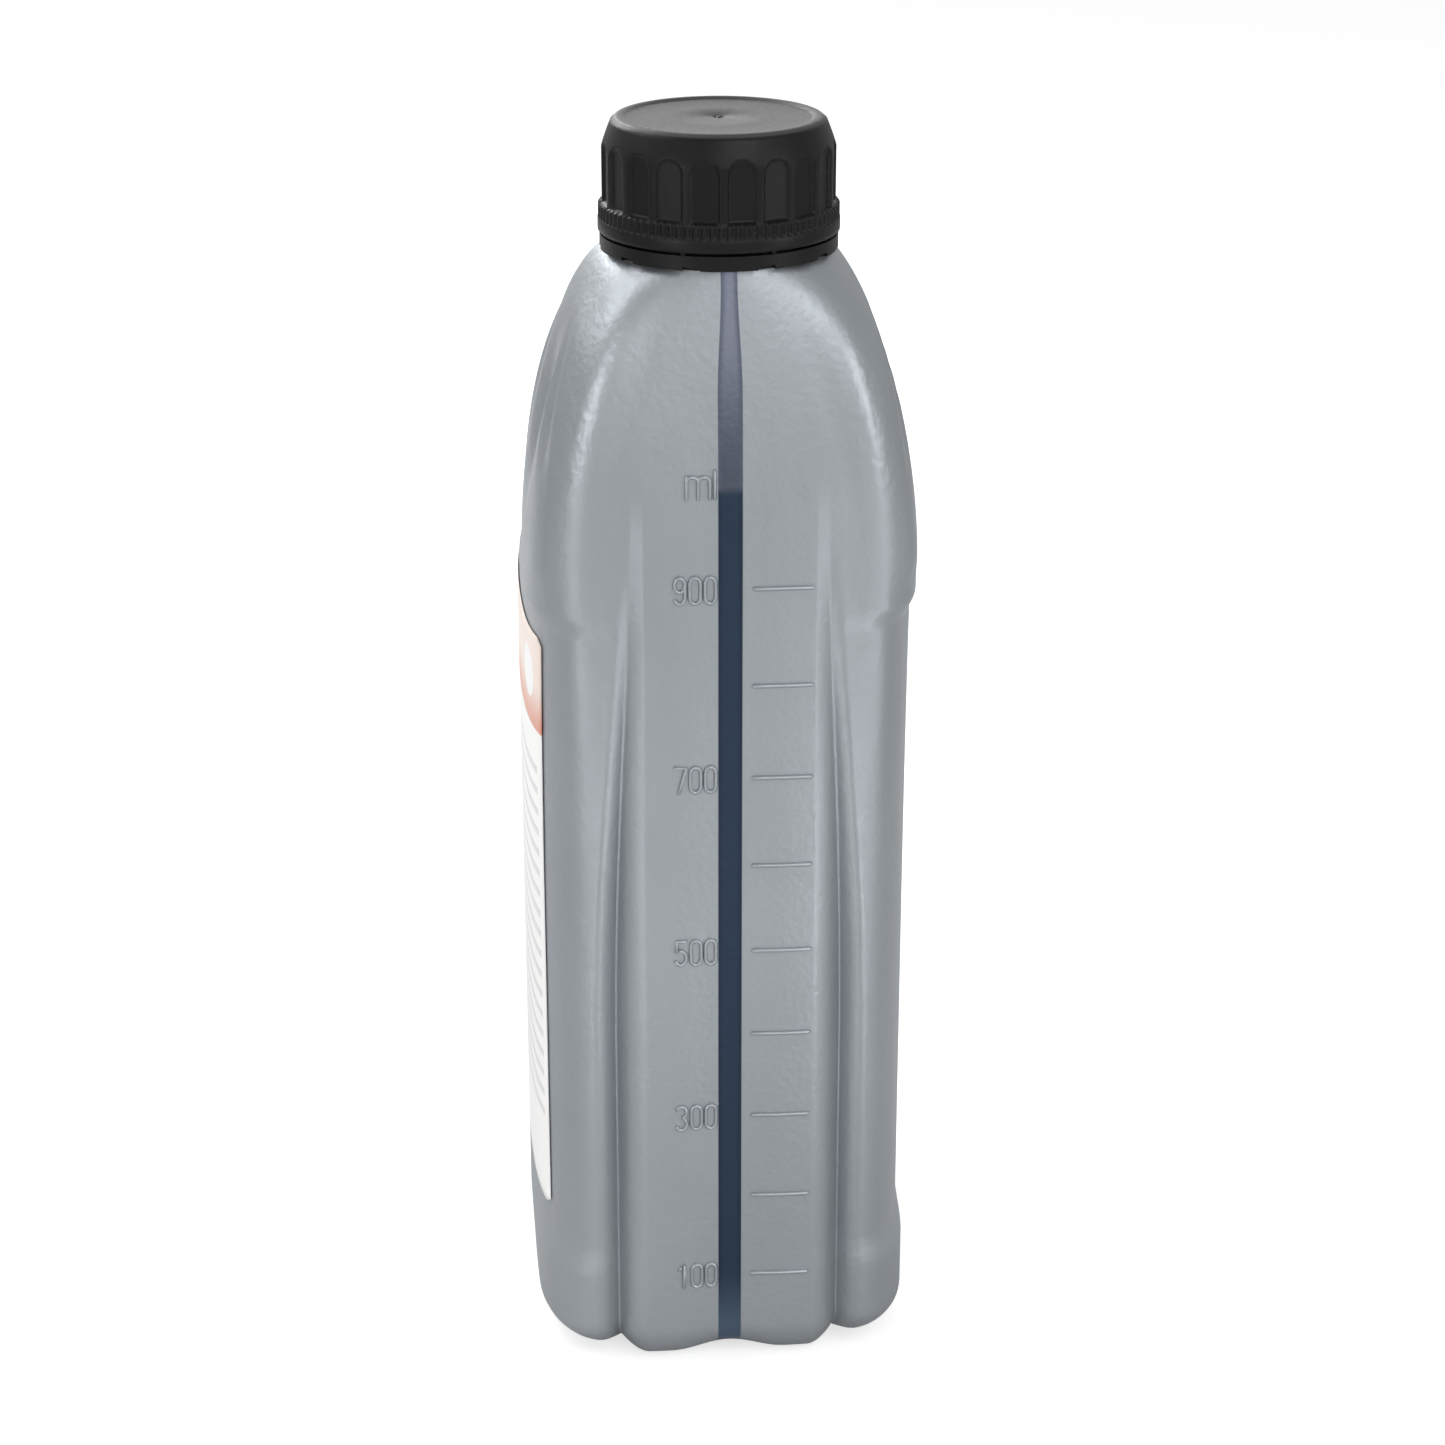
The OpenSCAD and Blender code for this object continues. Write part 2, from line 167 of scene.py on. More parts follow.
# Neck
NECK_SETBACK = 23.3
LEDGE_R = 19.6
NECK_R = 17.6
MOUTH_R = 14.6
NECK_H = 19.9
BEAD_R = 18.8
BEAD_H = 1.4
THREAD_PITCH = 4.0
THREAD_OUT = 1.0
THREAD_TURNS = 1.75
THREAD_ABOVE_BEAD = 2.2
THREAD_FOOT_HALF_H = 1.0
THREAD_CREST_HALF_H = 0.35

# Cap
CAP_R = 20.8
CAP_TOP_R = 18.6
CAP_EDGE_R = 0.8
CAP_SOFT = 0.2
SKIRT_R = 21.6
SKIRT_H = 2.4
KNURL_R = 21.5
KNURL_H = 2.5
KNURL_TEETH = 90
KNURL_DEPTH = 0.45
KNURL_STEEP = 1.6
KNURL_SHIFT = 0.3
CONE_H = 5.4
CONE_LIP = 0.25
CONE_CURVE = 1.15
TOP_DISH = 0.4
TOP_RIM_W = 0.8
TOP_RIM_CORNER = (0.35, 0.8)
TOP_RING_R = 9.0
CAP_BORE_R = 19.2
CAP_ROOF_HOLE_R = 0.3
CAP_ROOF_GAP = 0.1
RIB_COUNT = 20
RIB_STEPS = 36
RIB_W = 1.1
RIB_DEPTH = 0.7
RIB_FOOT_H = 0.1
RIB_TURN = -2.8
RIB_PANEL_SOFT = 0.5
RIB_PANEL_RUN = 0.4
RIB_PANEL_OUT = 0.12

# Gate mark in the middle of the cap's top: radius and height above the dish
GATE_MARK = [(1.2, 0.0), (0.9, -0.25), (0.5, -0.3), (0.35, 0.1)]

# Label
LABEL_W = 66.0
LABEL_H = 118.0
LABEL_T = 0.25
LABEL_GAP = 0.2
LABEL_CORNER_R = 1.5

OVERHANG = max(0.0, SKIRT_R - NECK_SETBACK)
NEAR_FACE_X = (BODY_W - OVERHANG) / 2
FAR_FACE_X = NEAR_FACE_X - BODY_W
NECK_X = NEAR_FACE_X - NECK_SETBACK
GRIP_FIRST_X = NECK_X - GRIP_BEHIND_NECK
HOLE_R = (NECK_R + MOUTH_R) / 2
CAP_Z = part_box("cap")[0][2] / MM
CAP_TOP_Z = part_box("cap")[1][2] / MM
KNURL_Z = CAP_Z + SKIRT_H
RIB_Z = KNURL_Z + KNURL_H
CONE_Z = CAP_TOP_Z - CONE_H

# Light
FLOOR_COLOUR = (0.5, 0.5, 0.5, 1)
FLOOR_GLOW = 0.65
WORLD_LIGHT = 0.55
MIDDLE = (0.0, 0.0, 0.12)
LOW_MIDDLE = (0.0, 0.0, 0.04)

# Name, place, target, size and power, in metres and watts
LAMPS = [
    ("front", (0.62, 0.28, 0.75), MIDDLE, (0.5, 0.4), 1.95),
    ("floor_pool", (1.1, 0.2, 0.6), (0.95, 0.2, 0.0), (0.8, 0.5), 2.3),
    ("far", (1.6, 0.2, 0.15), MIDDLE, (1.0, 0.25), 0.9),
    ("left", (0.44, -0.45, 0.25), MIDDLE, (0.12, 0.3), 0.7),
    ("right", (0.364, 0.51, 0.25), MIDDLE, (0.12, 0.3), 0.7),
    ("left_low", (0.235, -0.08, 0.02), LOW_MIDDLE, (0.06, 0.03), 0.02),
    ("right_low", (0.235, 0.11, 0.02), LOW_MIDDLE, (0.06, 0.03), 0.04),
    ("left_edge", (0.34, -0.24, 0.03), MIDDLE, (0.1, 0.05), 0.045),
    ("right_edge", (0.29, 0.3, 0.03), MIDDLE, (0.1, 0.05), 0.045),
    ("side", (-0.1, -0.7, 0.8), MIDDLE, (0.5, 0.5), 2.2),
    ("behind", (-0.65, -0.32, 0.6), (-0.58, -0.22, 0.0), (0.35, 0.3), 5.0),
    ("back", (-0.9, -0.05, 0.55), MIDDLE, (0.9, 0.6), 2.0),
]


def mix(a, b, k):
    return a + (b - a) * k


def ease(k):
    k = np.clip(k, 0, 1)
    return k * k * (3 - 2 * k)


def bell(k):
    return np.where(np.abs(k) >= 1, 0.0, np.cos(np.pi / 2 * np.clip(k, -1, 1)) ** 2)


def valley(k):
    """Like bell, with rounded walls that meet in a crease."""
    across = (np.hypot(k, CREASE_SOFT) - CREASE_SOFT) / (math.hypot(1, CREASE_SOFT) - CREASE_SOFT)
    return np.clip(1 - across, 0, 1) ** 2


def spread(a, b, n):
    """Values from just after a up to b, evenly."""
    return [mix(a, b, i / n) for i in range(1, n + 1)]


def crowd(a, b, n):
    """Like spread, with the values closer together towards b."""
    return [mix(a, b, math.sin(math.pi / 2 * k / n)) for k in range(1, n + 1)]


# Surface of the body: the part's own form with crisper flutes, ridges and grips
def rise(z):
    """Share of the way up from the widest part of the shoulder to the neck's ledge."""
    return min(1.0, max(0.0, (z - BULGE_Z) / (SHOULDER_Z - BULGE_Z)))


def below_ledge(z):
    """Share of the relief that is left at a height: none at the neck's ledge."""
    return 1 - rise(z) ** LEDGE_FADE


def rim_share(z):
    """1 above and below the label panels, 0 on them."""
    if z < (PANEL_LOW_Z + PANEL_HIGH_Z) / 2:
        return float(ease((PANEL_LOW_Z - z) / LOW_STEP_H))
    return float(ease((z - PANEL_HIGH_Z) / HIGH_STEP_H))


def near_x(z):
    return mix(NEAR_FACE_X, NECK_X + LEDGE_R, rise(z) ** NEAR_CURVE)


def far_x(z):
    k = min(1.0, max(0.0, (z - FAR_ROUND_Z) / (SHOULDER_Z - FAR_ROUND_Z)))
    return mix(NECK_X - LEDGE_R, FAR_FACE_X, math.sqrt(1 - k * k))


def half_depth(z):
    return mix(LEDGE_R, BODY_D / 2, (1 - rise(z) ** SHOULDER_CURVE) ** SHOULDER_FALL)


def squareness(z):
    return mix(SQUARE_BODY, SQUARE_NECK, rise(z) ** SQUARE_FADE)


def narrowing(x, z):
    """Factor on the depth that makes the shoulder narrower towards the far side."""
    share = FAR_TAPER * float(ease((z - PANEL_HIGH_Z) / HIGH_STEP_H))
    share += FAR_TAPER_TOP * rise(z) ** FAR_TAPER_CURVE
    return 1 - share * below_ledge(z) * ease((NECK_X - x) / FAR_TAPER_RUN)


def corner_ridge(off, z):
    """Rounded ridge at each corner of the scale side, wider and prouder up the shoulder."""
    top = float(ease(rise(z) / RIDGE_RISE))
    half_w = mix(RIDGE_HALF_W, RIDGE_TOP_HALF_W, top)
    out = mix(RIDGE_OUT, RIDGE_TOP_OUT, top) * below_ledge(z)
    return out * bell((off - RIDGE_SHARE * half_depth(z)) / half_w)


def shoulder_step(off, z):
    """Step beside the flutes' tops: steep at its inner edge, and fading outwards."""
    low = ease((z - STEP_LOW_Z) / STEP_LOW_RUN)
    up = float(ease((FLUTE_TOP_Z - z) / STEP_TOP_RUN) * low)
    beyond = np.clip((off - STEP_Y[0]) / (STEP_Y[1] - STEP_Y[0]), 0, 1)
    step = (1 - (1 - beyond) ** 2) * (1 - ease((off - STEP_Y[1]) / STEP_FADE))
    return STEP_DEPTH * up * step


def scale_side_in(y, z):
    """How far the scale side stands back from its plain outline."""
    off = np.abs(y)
    k = float(ease((FLUTE_TOP_Z - z) / FLUTE_RUN))
    inner_w = mix(FLUTE_TOP_HALF_W, FLUTE_INNER_W, k)
    outer_w = mix(FLUTE_TOP_HALF_W, FLUTE_OUTER_W, k)
    from_crease = off - FLUTE_EDGE_Y - inner_w
    flute = FLUTE_DEPTH * valley(from_crease / np.where(from_crease < 0, inner_w, outer_w))
    hollow = HOLLOW_DEPTH * bell(y / HOLLOW_HALF_W)
    return k * (flute + hollow) + shoulder_step(off, z) - corner_ridge(off, z)


def panel_in(x, z):
    """How far a label panel stands back: it is bowed, so most at its ends."""
    across = np.clip(np.abs(x) / PANEL_HALF_W, 0, 1)
    return (1 - rim_share(z)) * (PANEL_EDGE_IN * across ** 2 - PANEL_BOW)


def finger_scoops(x, z):
    across = [
        bell((x - GRIP_FIRST_X + i * GRIP_PITCH) / GRIP_HALF_W) for i in range(GRIP_COUNT)
    ]
    return GRIP_DEPTH * float(bell((z - GRIP_Z) / GRIP_HALF_H)) * np.max(across, axis=0)


def finger_groove(x, z):
    """Narrow slanting groove in front of the scoops."""
    groove_x = GROOVE_LOW[0] - GROOVE_SLANT * (z - GROOVE_LOW[1])
    across = bell((x - groove_x) / GROOVE_HALF_W)
    return GROOVE_DEPTH * float(bell((z - GROOVE_Z) / GROOVE_HALF_H)) * across


def flank_edge(x, z):
    """Edge between the shoulder's flank and its corner, bent back towards the neck."""
    edge_x = FLANK_EDGE_X - FLANK_EDGE_BEND * max(0.0, z - FLANK_EDGE_Z) ** 2
    fall = np.where(x < edge_x, (edge_x - x) / FLANK_EDGE_W[0], (x - edge_x) / FLANK_EDGE_W[1])
    top = 1 - ease((z - FLANK_EDGE_TOP_Z) / FLANK_EDGE_TOP_RUN)
    up = float(ease((z - FLANK_EDGE_LOW_Z) / FLANK_EDGE_LOW_RUN) * top)
    return FLANK_EDGE_OUT * up * np.clip(1 - fall, 0, 1)


def grip_in(x, z):
    return finger_scoops(x, z) + finger_groove(x, z) - flank_edge(x, z)


def outline(z, angles, shrink=0.0, pull=0.0):
    """Points of the body's outline at a height, in directions seen from its middle.

    Shrink makes the plain outline smaller and leaves out the scale side's relief. Pull moves
    the whole outline inwards.
    """
    mid_x = (near_x(z) + far_x(z)) / 2
    a = (near_x(z) - far_x(z)) / 2 - shrink
    b = half_depth(z) - shrink
    n = squareness(z)
    c, s = np.cos(angles), np.sin(angles)
    reach = ((np.abs(c) / a) ** n + (np.abs(s) / b) ** n) ** (-1 / n)
    x, y = reach * c, reach * s
    gx = np.sign(x) * (np.abs(x) / a) ** (n - 1) / a
    gy = np.sign(y) * (np.abs(y) / b) ** (n - 1) / b
    g = np.hypot(gx, gy)
    depth = pull + (panel_in(x, z) + grip_in(x + mid_x, z)) * np.abs(gy / g)
    if shrink == 0:
        depth = depth + np.where(x > 0, scale_side_in(y, z) * np.abs(gx / g), 0)
    x, y = x + mid_x - depth * gx / g, y - depth * gy / g
    return np.stack([x, y * narrowing(x, z)], axis=1)


def outward(along):
    """Unit normals of an outline, from vectors that run anticlockwise along it."""
    along = along / np.linalg.norm(along, axis=1)[:, None]
    return np.stack([along[:, 1], -along[:, 0]], axis=1)


def inset(ring, d):
    return ring - d * outward(np.roll(ring, -1, axis=0) - np.roll(ring, 1, axis=0))


def lift(x, y, z):
    """How far the base's edge is raised at the scale side: at its pads and in its middle."""
    # The pads' lift is full from half-way between the neck's axis and the scale side
    near = ease((x - NECK_X) / NECK_SETBACK * 2)
    pads = PAD_LIFT * ease((np.abs(y) - FLUTE_EDGE_Y) / PAD_RUN) * near
    middle = np.where(x > 0, EDGE_LIFT * bell(y / EDGE_LIFT_HALF_W), 0)
    return (middle + pads) * (1 - ease(z / EDGE_LIFT_TOP_Z))


def scale_side_x(y, z):
    """X of the scale side at a distance from its middle and a height."""
    reach = 35
    ring = outline(z, np.radians(np.linspace(-reach, reach, 4 * reach + 1)))
    return float(np.interp(y, ring[:, 1], ring[:, 0]))


# Meshes
def new_object(name, points, faces):
    mesh = bpy.data.meshes.new(name)
    mesh.from_pydata([tuple(p) for p in np.asarray(points) * MM], [], faces)
    mesh.update()
    mesh.polygons.foreach_set("use_smooth", [True] * len(mesh.polygons))
    obj = bpy.data.objects.new(name, mesh)
    bpy.context.scene.collection.objects.link(obj)
    return obj


def stack_faces(rows, n, start=0, cap_first=False, cap_last=False):
    """Faces of a stack of closed rings of n points each."""
    faces = []
    for r in range(rows - 1):
        low = start + r * n
        for i in range(n):
            j = (i + 1) % n
            faces.append((low + i, low + j, low + n + j, low + n + i))
    if cap_first:
        faces.append(tuple(start + i for i in reversed(range(n))))
    if cap_last:
        faces.append(tuple(start + (rows - 1) * n + i for i in range(n)))
    return faces


def turn_angles(n):
    return np.arange(n) * 2 * np.pi / n


def neck_ring(radius, z, turn):
    """Ring round the neck's axis, with one radius or one for each direction."""
    x, y = NECK_X + radius * np.cos(turn), radius * np.sin(turn)
    return np.stack([x, y, np.full(len(turn), z)], axis=1)


def lathe_points(profile, n):
    return np.concatenate([neck_ring(r, z, turn_angles(n)) for r, z in profile])


def join_close_points(obj):
    work = bmesh.new()
    work.from_mesh(obj.data)
    bmesh.ops.remove_doubles(work, verts=work.verts, dist=1e-6)
    bmesh.ops.recalc_face_normals(work, faces=work.faces)
    work.to_mesh(obj.data)
    work.free()


# Bottle
class Row(NamedTuple):
    """One ring of the shell: the outline at z, drawn in, shrunk or pulled, set at a height."""
    z: float
    height: float
    drawn_in: float = 0
    shrink: float = 0
    pull: float = 0


def row_points(row, angles):
    ring = inset(outline(row.z, angles, row.shrink, row.pull), row.drawn_in)
    x, y = ring[:, 0], ring[:, 1]
    return np.stack([x, y, row.height + lift(x, y, row.height)], axis=1)


def base_rows(steps):
    """The base, from its hollow out over the standing ring and round the foot."""
    ring_in = BASE_R + STAND_RING_W
    rows = [
        Row(0, PUSH_UP, shrink=ring_in + PUSH_UP + PUSH_UP_RING_W),
        Row(0, PUSH_UP, shrink=ring_in + PUSH_UP),
        Row(0, 0.0, shrink=ring_in),
    ]
    for k in range(steps + 1):
        t = math.pi / 2 * k / steps
        rows.append(Row(0, BASE_R * (1 - math.cos(t)), pull=BASE_R * (1 - math.sin(t))))
    return rows


def inside_of(row):
    """Inner ring of the wall for a ring of the base."""
    if row.shrink:
        return row._replace(height=row.height + BASE_WALL, shrink=row.shrink + WALL)
    return row._replace(height=row.height + BASE_WALL, drawn_in=WALL)


def shell_rows():
    """Rings of the shell: up the outside, in at the neck's hole and down the inside."""
    foot_z = PANEL_LOW_Z - LOW_STEP_H
    step_z = PANEL_HIGH_Z + HIGH_STEP_H
    levels = spread(BASE_R, foot_z, 10) + spread(foot_z, PANEL_LOW_Z, 16)
    levels += spread(PANEL_LOW_Z, PANEL_HIGH_Z, 70) + spread(PANEL_HIGH_Z, step_z, 12)
    levels += crowd(step_z, SHOULDER_Z, 90)
    outer = base_rows(10) + [Row(z, z) for z in levels]
    roof_z = SHOULDER_Z - WALL
    hole = [Row(SHOULDER_Z, z, drawn_in=LEDGE_R - HOLE_R) for z in (SHOULDER_Z, roof_z)]
    inner_levels = spread(BASE_R + BASE_WALL, step_z, 26) + crowd(step_z, roof_z, 20)
    inner = [inside_of(row) for row in base_rows(4)]
    inner += [Row(z + WALL * rise(z), z, drawn_in=WALL) for z in inner_levels]
    return outer + hole + inner[::-1]


def ring_angles():
    """Directions of a ring's points, closest together at the flutes."""
    flute_from, flute_to, corner_to = 17, 29, 50
    middle = np.linspace(0, flute_from, 17)
    flute = np.linspace(flute_from, flute_to, 49)[1:]
    corner = np.linspace(flute_to, corner_to, 25)[1:]
    side = np.concatenate([middle, flute, corner])
    far = np.linspace(corner_to, 360 - corner_to, 151)[1:-1]
    return np.radians(np.concatenate([-side[:0:-1], side, far]))


def neck_profile():
    """Half section of the neck, up the outside, over the lip and down the mouth."""
    top = SHOULDER_Z + NECK_H
    low = SHOULDER_Z - WALL / 2
    flare, bead_soft, bead_top = 0.5, 0.3, 0.4
    lip, lip_corner = 0.6, 0.2
    return [
        (NECK_R + flare, low), (NECK_R + flare, SHOULDER_Z), (NECK_R, SHOULDER_Z + flare),
        (NECK_R, CAP_Z), (BEAD_R - bead_soft, CAP_Z), (BEAD_R, CAP_Z + bead_soft),
        (BEAD_R, CAP_Z + BEAD_H - bead_soft), (NECK_R, CAP_Z + BEAD_H + bead_top),
        (NECK_R, top - lip), (NECK_R - lip_corner, top - lip_corner), (NECK_R - lip, top),
        (MOUTH_R + lip, top), (MOUTH_R + lip_corner, top - lip_corner), (MOUTH_R, top - lip),
        (MOUTH_R, low), (HOLE_R, low),
    ]


def bottle_shell():
    angles = ring_angles()
    rows = shell_rows()
    n = len(angles)
    points = [row_points(row, angles) for row in rows]
    faces = stack_faces(len(rows), n, cap_first=True, cap_last=True)
    profile = neck_profile()
    neck_n = 128
    points.append(lathe_points(profile, neck_n))
    faces += stack_faces(len(profile), neck_n, start=n * len(rows))
    return new_object("bottle_shell", np.concatenate(points), faces)


def neck_thread():
    """Helical ridge round the neck, tapered in at both ends."""
    start_z = CAP_Z + BEAD_H + THREAD_ABOVE_BEAD
    steps, taper_parts, sunk = 160, 8, 0.1
    section = [
        (0.0, -THREAD_FOOT_HALF_H), (THREAD_OUT, -THREAD_CREST_HALF_H),
        (THREAD_OUT, THREAD_CREST_HALF_H), (0.0, THREAD_FOOT_HALF_H),
    ]
    points = []
    for i in range(steps + 1):
        k = i / steps
        turn = 2 * math.pi * THREAD_TURNS * k
        taper = min(1.0, k * taper_parts, (1 - k) * taper_parts)
        for out, dz in section:
            r = NECK_R - sunk + out * taper
            z = start_z + THREAD_PITCH * THREAD_TURNS * k + dz
            points.append((NECK_X + r * math.cos(turn), r * math.sin(turn), z))
    faces = stack_faces(steps + 1, len(section), cap_first=True, cap_last=True)
    return new_object("neck_thread", points, faces)


# Raised scale: bars, numbers and the unit
def arc(cx, cy, rx, ry, start, end, steps=10):
    span = np.radians(np.linspace(start, end, steps + 1))
    return [(cx + rx * math.cos(t), cy + ry * math.sin(t)) for t in span]


HUMP = arc(0.25, 1.25, 0.25, 0.35, 180, 0, 8)

# Strokes of each sign in a box from (0, 0) to (1, 2)
GLYPHS = {
    "0": [arc(0.5, 1.5, 0.5, 0.5, 0, 180) + arc(0.5, 0.5, 0.5, 0.5, 180, 360) + [(1, 1.5)]],
    "1": [[(0.15, 1.6), (0.6, 2), (0.6, 0)]],
    "3": [arc(0.45, 1.5, 0.5, 0.5, 150, -80) + arc(0.45, 0.5, 0.52, 0.52, 80, -150)],
    "5": [[(0.95, 2), (0.1, 2), (0.05, 1.1)] + arc(0.45, 0.62, 0.53, 0.6, 125, -150)],
    "7": [[(0, 2), (1, 2), (0.35, 0)]],
    "9": [
        arc(0.5, 1.45, 0.48, 0.55, 0, 360, 20),
        [(0.98, 1.45)] + arc(0.5, 0.55, 0.48, 0.55, 0, -150),
    ],
    "m": [[(0, 0), (0, 1.6)], HUMP + [(0.5, 0)], [(x + 0.5, y) for x, y in HUMP] + [(1, 0)]],
    "l": [[(0.5, 0), (0.5, 2)]],
}


def stroke(points, faces, path, width):
    """Adds a half-round ridge along a path of (y, z) on the scale side."""
    path = np.array(path)
    along = np.gradient(path, axis=0)
    along /= np.linalg.norm(along, axis=1)[:, None]
    closed = np.linalg.norm(path[0] - path[-1]) < 1e-6
    # Stations past an open end: distance in widths, and share of the full section
    rounds = [] if closed else [(-0.5, 0.0), (-0.35, 0.7)]
    stations = [(path[0] + along[0] * width * e, along[0], k) for e, k in rounds]
    stations += [(p, t, 1.0) for p, t in zip(path, along)]
    stations += [(path[-1] - along[-1] * width * e, along[-1], k) for e, k in reversed(rounds)]
    # A little more than half round, so that its feet lie below the surface
    section = [math.radians(a) for a in range(-10, 191, 25)]
    least_share = 0.02
    start = len(points)
    for p, t, k in stations:
        share = max(k, least_share)
        for a in section:
            side = math.cos(a) * width / 2 * share
            y, z = p[0] - t[1] * side, p[1] + t[0] * side
            points.append((scale_side_x(p[0], p[1]) + math.sin(a) * STROKE_OUT * share, y, z))
    n = len(section)
    for r in range(len(stations) - 1):
        for i in range(n - 1):
            low = start + r * n + i
            faces.append((low, low + 1, low + n + 1, low + n))


def word(points, faces, letters, right_y, low_z, width, gap):
    widths = [width * LETTER_WIDTHS.get(letter, 1.0) for letter in letters]
    y = right_y - sum(widths) - (len(letters) - 1) * gap
    for letter, wide in zip(letters, widths):
        for path in GLYPHS[letter]:
            placed = [(y + u * wide, low_z + v * DIGIT_H / 2) for u, v in path]
            stroke(points, faces, placed, LETTER_STROKE_W)
        y += wide + gap


def bar_z(i):
    """Height of a bar: they stand further apart where the body narrows."""
    return SCALE_FIRST_Z + SCALE_PITCH * i + SCALE_GROWTH * max(0, i - SCALE_EVEN_COUNT) ** 3


def scale_marks():
    points, faces = [], []
    for i in range(SCALE_COUNT):
        z = bar_z(i)
        stroke(points, faces, [(y, z) for y in np.linspace(*BAR_Y, 9)], STROKE_W)
        if i % 2 == 0:
            number = str(100 * (i + 1))
            word(points, faces, number, DIGIT_RIGHT_Y, z - DIGIT_H / 2, DIGIT_W, DIGIT_GAP)
    unit_z = FLUID_LEVEL - UNIT_BELOW_LEVEL
    word(points, faces, "ml", UNIT_RIGHT_Y, unit_z, UNIT_W, UNIT_GAP)
    return new_object("scale_marks", points, faces)


# Cap
def cone_radius(z):
    return mix(CAP_R, CAP_TOP_R + CONE_LIP, ((z - CONE_Z) / CONE_H) ** CONE_CURVE)


def cap_rows():
    """Radius and height of the cap's outside, from the foot to the top's edge."""
    rib_foot_z = RIB_Z + RIB_FOOT_H
    rows = [(SKIRT_R - CAP_SOFT, CAP_Z), (SKIRT_R, CAP_Z + CAP_SOFT)]
    rows += [(SKIRT_R, z) for z in spread(CAP_Z + CAP_SOFT, KNURL_Z - CAP_SOFT, 3)]
    rows += [(KNURL_R, KNURL_Z)]
    rows += [(KNURL_R, z) for z in spread(KNURL_Z, RIB_Z - CAP_SOFT, 8)]
    rows += [(CAP_R, rib_foot_z)]
    rows += [(CAP_R, z) for z in spread(rib_foot_z, CONE_Z, 44)]
    rows += [(cone_radius(z), z) for z in spread(CONE_Z, CAP_TOP_Z - CAP_EDGE_R, 14)]
    return rows


def cap_outside(turn):
    """Rings of the cap's outside, with arched sunk panels between ribs and a toothed knurl."""
    pitch = 2 * np.pi / RIB_COUNT
    half_pitch = pitch * CAP_R / 2
    from_rib = np.abs((turn - math.radians(RIB_TURN) + pitch / 2) % pitch - pitch / 2) * CAP_R
    from_middle = half_pitch - from_rib
    half_w = half_pitch - RIB_W / 2
    head_z = CONE_Z + half_w / 2 - half_w
    flat = np.cos(half_w / CAP_R)
    floor_r = (CAP_R - RIB_DEPTH) / np.cos(from_middle / CAP_R) * flat + RIB_PANEL_OUT
    tooth = 0.5 + 0.5 * np.cos(turn * KNURL_TEETH)
    gap_depth = KNURL_DEPTH * (1 - ease(tooth * KNURL_STEEP - KNURL_SHIFT))
    rings = []
    for r, z in cap_rows():
        radius = np.full(len(turn), r)
        if RIB_Z < z < CONE_Z + half_w:
            beyond = np.hypot(from_middle, max(0.0, z - head_z))
            edge = np.clip((half_w - beyond) / RIB_PANEL_SOFT, 0, 1)
            foot = min(1.0, (z - RIB_Z) / RIB_PANEL_RUN)
            radius = mix(radius, np.minimum(radius, floor_r), ease(edge) * foot)
        elif KNURL_Z < z < RIB_Z:
            radius = radius - gap_depth
        rings.append(neck_ring(radius, z, turn))
    return rings


def cap_top():
    """Half section of the cap's top, from its rounded edge in to the gate mark."""
    steps = 5
    profile = []
    for k in range(1, steps + 1):
        t = math.pi / 2 * k / steps
        r = CAP_TOP_R - CAP_EDGE_R + CONE_LIP * (1 - k / steps) + CAP_EDGE_R * math.cos(t)
        profile.append((r, CAP_TOP_Z - CAP_EDGE_R + CAP_EDGE_R * math.sin(t)))
    rim_r = CAP_TOP_R - 2 * CAP_EDGE_R
    dish_z = CAP_TOP_Z - TOP_DISH
    corner_in, corner_down = TOP_RIM_CORNER
    rim = [(rim_r, CAP_TOP_Z), (rim_r - corner_in, CAP_TOP_Z - TOP_DISH * corner_down)]
    dish = [(rim_r - TOP_RIM_W, dish_z), (TOP_RING_R, dish_z)]
    gate_mark = [(r, dish_z + up) for r, up in GATE_MARK]
    return profile + rim + dish + gate_mark


def cap_shell():
    n = RIB_COUNT * RIB_STEPS
    roof_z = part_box("liner")[1][2] / MM + CAP_ROOF_GAP
    outside, top = cap_outside(turn_angles(n)), cap_top()
    under = [
        (SKIRT_R - CAP_SOFT, CAP_Z), (CAP_BORE_R, CAP_Z),
        (CAP_BORE_R, roof_z), (CAP_ROOF_HOLE_R, roof_z),
    ]
    points = np.concatenate(outside + [lathe_points(top, n), lathe_points(under, n)])
    outer_rows = len(outside) + len(top)
    faces = stack_faces(outer_rows, n, cap_last=True)
    under_faces = stack_faces(len(under), n, start=outer_rows * n, cap_last=True)
    faces += [tuple(reversed(f)) for f in under_faces]
    obj = new_object("cap_shell", points, faces)
    join_close_points(obj)
    return obj


# Label
def label_row(z, from_edge, start, across, out):
    """Points across the label at a height, drawn in at its rounded corners."""
    step_on = 0.01
    cut = 0.0
    if from_edge < LABEL_CORNER_R:
        rest = LABEL_CORNER_R - from_edge
        cut = LABEL_CORNER_R - math.sqrt(LABEL_CORNER_R ** 2 - rest ** 2)
    turn_in = cut / half_depth(z)
    angles = -np.linspace(start + turn_in, math.pi - start - turn_in, across + 1)
    ring = outline(z, angles)
    ring = ring + out * outward(outline(z, angles + step_on) - ring)
    return np.column_stack([ring, np.full(across + 1, z)])


